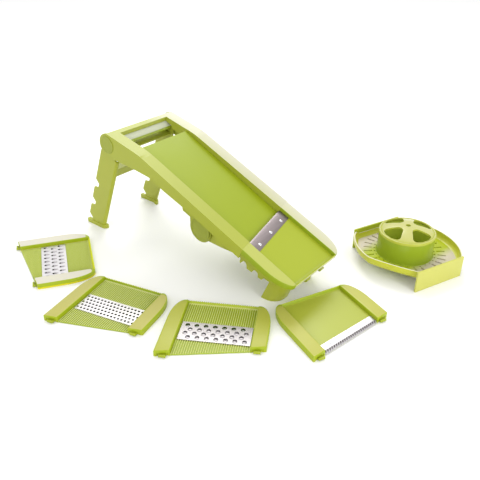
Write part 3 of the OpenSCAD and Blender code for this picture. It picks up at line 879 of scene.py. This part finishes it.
LOOP_N = 144           # points round the dish
STEP_LEN = 5           # length of the step down beside a flange
PLATE_EDGE = 7.4       # where the flat plate meets the dish's rounded wall
SLOT_EDGE = 8.5        # what the slots keep clear of the dish's edge
SLOT_RINGS = ((42.6, 45.5), (47.5, 60.5))
CAP_T = 2.6            # thickness of the cap's dome
CAP_LIP = 1.6          # radius of the cap's rounded rim
CAP_RINGS = 14
EYE_R = 3.6            # the hole in the middle of the cap
WALL_TOP = 6           # from the plate up to the dish's low wall next to the flanges


def soft_limit(x, limit, ease=4.0):
    """x held below the limit, easing into it."""
    start = limit - ease
    if abs(x) <= start:
        return x
    return (1 if x > 0 else -1) * (start + ease * tanh((abs(x) - start) / ease))


def front_share(q):
    """How much of its depth the dish's edge keeps; it is flatter on one side of the front."""
    q = q % (2 * pi)
    return 1 - 0.2 * sin(2 * (q - 1.5 * pi)) if q > 1.5 * pi else 1


def holder_loop(w, z, low_z=None):
    """Ellipse cut off by the two flanges, w inside the true edge. Next to the flanges its
    height is at most low_z."""
    half = HOLDER_W / 2 - 1.6 - w
    points = []
    for k in range(LOOP_N):
        q = 2 * pi * k / LOOP_N
        x, y = (HOLDER_A - w) * cos(q), (HOLDER_B - w) * sin(q) * front_share(q)
        beside = min(1, max(0, (abs(x) - half) / STEP_LEN))
        height = z if low_z is None else z + (min(z, low_z) - z) * beside
        points.append((soft_limit(x, half), y, height))
    return points


def slots(r0, r1, width):
    found = []
    for k in range(SLOTS):
        q = 2 * pi * k / SLOTS
        ux, uy = cos(q), sin(q)
        corner = []
        for r, side in ((r0, -1), (r1, -1), (r1, 1), (r0, 1)):
            corner.append((DRUM_AT[0] + r * ux - side * uy * width / 2,
                           DRUM_AT[1] + r * uy + side * ux * width / 2))
        reach = []
        for x, y in corner:
            x, y = x / (HOLDER_A - SLOT_EDGE), y / (HOLDER_B - SLOT_EDGE)
            reach.append(hypot(x, y / front_share(atan2(y, x))))
        if max(reach) < 1 and max(abs(x) for x, _ in corner) < HOLDER_W / 2 - 9:
            found.append(rounded(corner, [width * 0.45] * 4, 3))
    return found


def holder_piece(name, parts, finish, bevel=0.0, stands_for=()):
    return piece(name, parts, HOLDER, "food_holder", finish, bevel, stands_for)


def slotted_plate():
    flat = [(x, y) for x, y, _ in holder_loop(PLATE_EDGE, 0)]
    cuts = [slot for r0, r1 in SLOT_RINGS for slot in slots(r0, r1, SLOT_W)]
    holder_piece("holder_slotted_plate", [cut_sheet(flat, cuts, *HOLDER_PLATE)], DISH_PLASTIC,
                 stands_for=["holder_plate"])


def dish_rim():
    """The wall round the plate, as (distance inside the edge, height) up, over and down."""
    low, top = HOLDER_PLATE
    outside = [(PLATE_EDGE, low), (3.8, low + 0.8), (1.4, low + 2.8), (0.2, low + 6),
               (0, RIM_Z - 1.4)]
    over = [(0.2, RIM_Z - 0.5), (0.8, RIM_Z), (1.6, RIM_Z), (2.2, RIM_Z - 0.5), (2.4, RIM_Z - 1.4)]
    inside = [(2.6, top + 6), (3.6, top + 2.8), (5.4, top + 0.8), (PLATE_EDGE, top)]
    wall = tube([holder_loop(w, z, top + WALL_TOP) for w, z in outside + over + inside])
    holder_piece("holder_rim", [wall], RIM_PLASTIC)


def flanges():
    # The far flange takes the painted-shade colour, the near flange the painted-light colour.
    for side, name, finish in ((-1, "far_flange", FAR_FLANGE_SHADE), (1, "near_flange", NEAR_FLANGE_LIGHT)):
        x = sorted((side * HOLDER_W / 2, side * (HOLDER_W / 2 - SKIN)))
        flange = block(x, (-FLANGE_LEN / 2, FLANGE_LEN / 2), (0, FLANGE_H))
        holder_piece("holder_" + name, [flange], finish, bevel=0.7)


def tube(loops):
    """Closed skin through a ring of loops, the last joined to the first."""
    n = len(loops[0])
    verts = [v for loop in loops for v in loop]
    faces = []
    for k in range(len(loops)):
        a, b = k * n, ((k + 1) % len(loops)) * n
        for i in range(n):
            j = (i + 1) % n
            faces.append((a + i, a + j, b + j, b + i))
    return verts, faces


def revolved(profile, centre=DRUM_AT, n=96):
    """A closed (r, z) profile turned about an upright axis."""
    return tube([[(x, y, z) for x, y in circle(*centre, r, n)] for r, z in profile])


def drum():
    base = HOLDER_PLATE[1]
    top = base + DRUM_H - CAP_SKIRT
    low_r, top_r = DRUM_R
    outer = [(low_r + 1.4, base - 0.1), (low_r + 0.6, base + 0.4), (low_r + 0.1, base + 1.6),
             (low_r - 0.1, base + 5), (top_r, top - 2), (top_r, top)]
    inner = [(top_r - 2.4, top), (low_r - 2.4, base - 0.1)]
    holder_piece("grip_drum", [revolved(outer + inner)], DRUM_PLASTIC, stands_for=["holder_drum"])
    # A thin bright sheet just inside the drum's wall, painted light on its inside.
    low_r, top_r = low_r - 2.5, top_r - 2.5
    painted_light_lining = [(low_r, base + 0.1), (top_r, top - 0.1), (top_r - 0.4, top - 0.1),
             (low_r - 0.4, base + 0.1)]
    holder_piece("grip_drum_liner", [revolved(painted_light_lining)], DRUM_PAINTED_LIGHT)


def rounded(corners, radii, steps=8):
    """A closed outline whose corners are rounded by the radii given."""
    points = []
    n = len(corners)
    for k in range(n):
        before, here, after = (Vector(corners[(k + d) % n]) for d in (-1, 0, 1))
        u, v = (before - here).normalized(), (after - here).normalized()
        half = u.angle(v) / 2
        centre = here + (u + v).normalized() * radii[k] / sin(half)
        start = here + u * radii[k] / tan(half)
        end = here + v * radii[k] / tan(half)
        q0 = atan2(start.y - centre.y, start.x - centre.x)
        q1 = atan2(end.y - centre.y, end.x - centre.x)
        turn = (q1 - q0 + pi) % (2 * pi) - pi
        for i in range(steps + 1):
            q = q0 + turn * i / steps
            points.append((centre.x + radii[k] * cos(q), centre.y + radii[k] * sin(q)))
    return points


def dome(r, inset=0.0):
    """Height over the cap's edge of a point r from its middle."""
    return CAP_DOME - DOME_R + sqrt((DOME_R - inset) ** 2 - r ** 2)


def carve(obj, cutters):
    """Cuts closed shells, given in the holder's millimetres, out of a piece."""
    mesh = shell_mesh("cutter", cutters, HOLDER)
    cutter = bpy.data.objects.new("cutter", mesh)
    bpy.context.scene.collection.objects.link(cutter)
    cut = obj.modifiers.new("openings", "BOOLEAN")
    cut.operation = "DIFFERENCE"
    cut.solver = "EXACT"
    cut.object = cutter
    graph = bpy.context.evaluated_depsgraph_get()
    carved = bpy.data.meshes.new_from_object(obj.evaluated_get(graph))
    obj.modifiers.clear()
    obj.data = carved
    bpy.data.objects.remove(cutter)
    bpy.data.meshes.remove(mesh)
    smooth(carved)


def cap_profile():
    """Closed (r, z) profile of the cap over its edge: dome, rounded rim, skirt, hollow."""
    r = DRUM_R[1]
    rim_in = r - 3.0
    tip = 0.02
    profile = [(tip, CAP_SKIRT + CAP_DOME)]
    for k in range(1, CAP_RINGS + 1):
        x = rim_in * k / CAP_RINGS
        profile.append((x, CAP_SKIRT + dome(x)))
    for q in (150, 120, 90, 60, 30, 0):
        profile.append((r - 1.0 + CAP_LIP * cos(radians(q)), CAP_SKIRT + 0.2 + CAP_LIP * sin(radians(q))))
    profile += [(r + 0.6, 0.5), (r + 0.2, 0), (r - 2.0, 0), (r - 2.2, CAP_SKIRT - CAP_LIP)]
    for k in range(CAP_RINGS - 1, 0, -1):
        x = (rim_in - 1) * k / CAP_RINGS
        profile.append((x, CAP_SKIRT + dome(x, CAP_T)))
    profile.append((tip, CAP_SKIRT + CAP_DOME - CAP_T))
    return profile


def cap():
    base = HOLDER_PLATE[1] + DRUM_H - CAP_SKIRT
    shell = revolved([(r, base + z) for r, z in cap_profile()])
    obj = holder_piece("grip_cap", [shell], CAP_PLASTIC, stands_for=["holder_cap"])
    corners = [(7.5, 0), (31.5, -18.5), (36.6, -6), (36.6, 6), (31.5, 18.5)]
    opening = rounded(corners, [8.0, 5.0, 12.0, 12.0, 5.0])
    cutters = [prism(circle(*DRUM_AT, EYE_R), base, base + 30)]
    for k in range(4):
        turn = Matrix.Rotation(k * pi / 2, 2)
        outline = [turn @ Vector(p) + Vector(DRUM_AT) for p in opening]
        cutters.append(prism([tuple(p) for p in outline], base + 1, base + 30))
    carve(obj, cutters)
    round_edges(obj, 0.6)


# ---- the slicer's own mouldings ----

CAD_FINISHES = (
    ("main_frame", DECK_PLASTIC, 0.9),
    ("insert_cradle", DECK_PLASTIC, 0.4),
    ("runway_plate", RUNWAY_PLASTIC, 0.4),
    ("thickness_cam", RIVET_STEEL, 0),
    ("thickness_dial", LEG_PLASTIC, 0.3),
    ("rear_leg_frame", LEG_PLASTIC, 0.7),
    ("carry_bar", BAR_PLASTIC, 0),
    ("rear_hub_cap_near", HUB_PLASTIC, 0.4),
    ("rear_hub_cap_far", HUB_PLASTIC, 0.4),
    ("front_leg_frame", LEG_PLASTIC, 0.7),
    ("front_cross_bar", LEG_PLASTIC, 0),
    ("front_hub_cap_near", HUB_PLASTIC, 0.4),
    ("front_hub_cap_far", HUB_PLASTIC, 0.4),
    ("holder_prongs", RIVET_STEEL, 0),
)
for node, finish, bevel in CAD_FINISHES:
    finish_cad(node, finish, bevel)

slicing()
shredder()
fine_grater()
coarse_grater()
julienne()
slotted_plate()
dish_rim()
flanges()
drum()
cap()
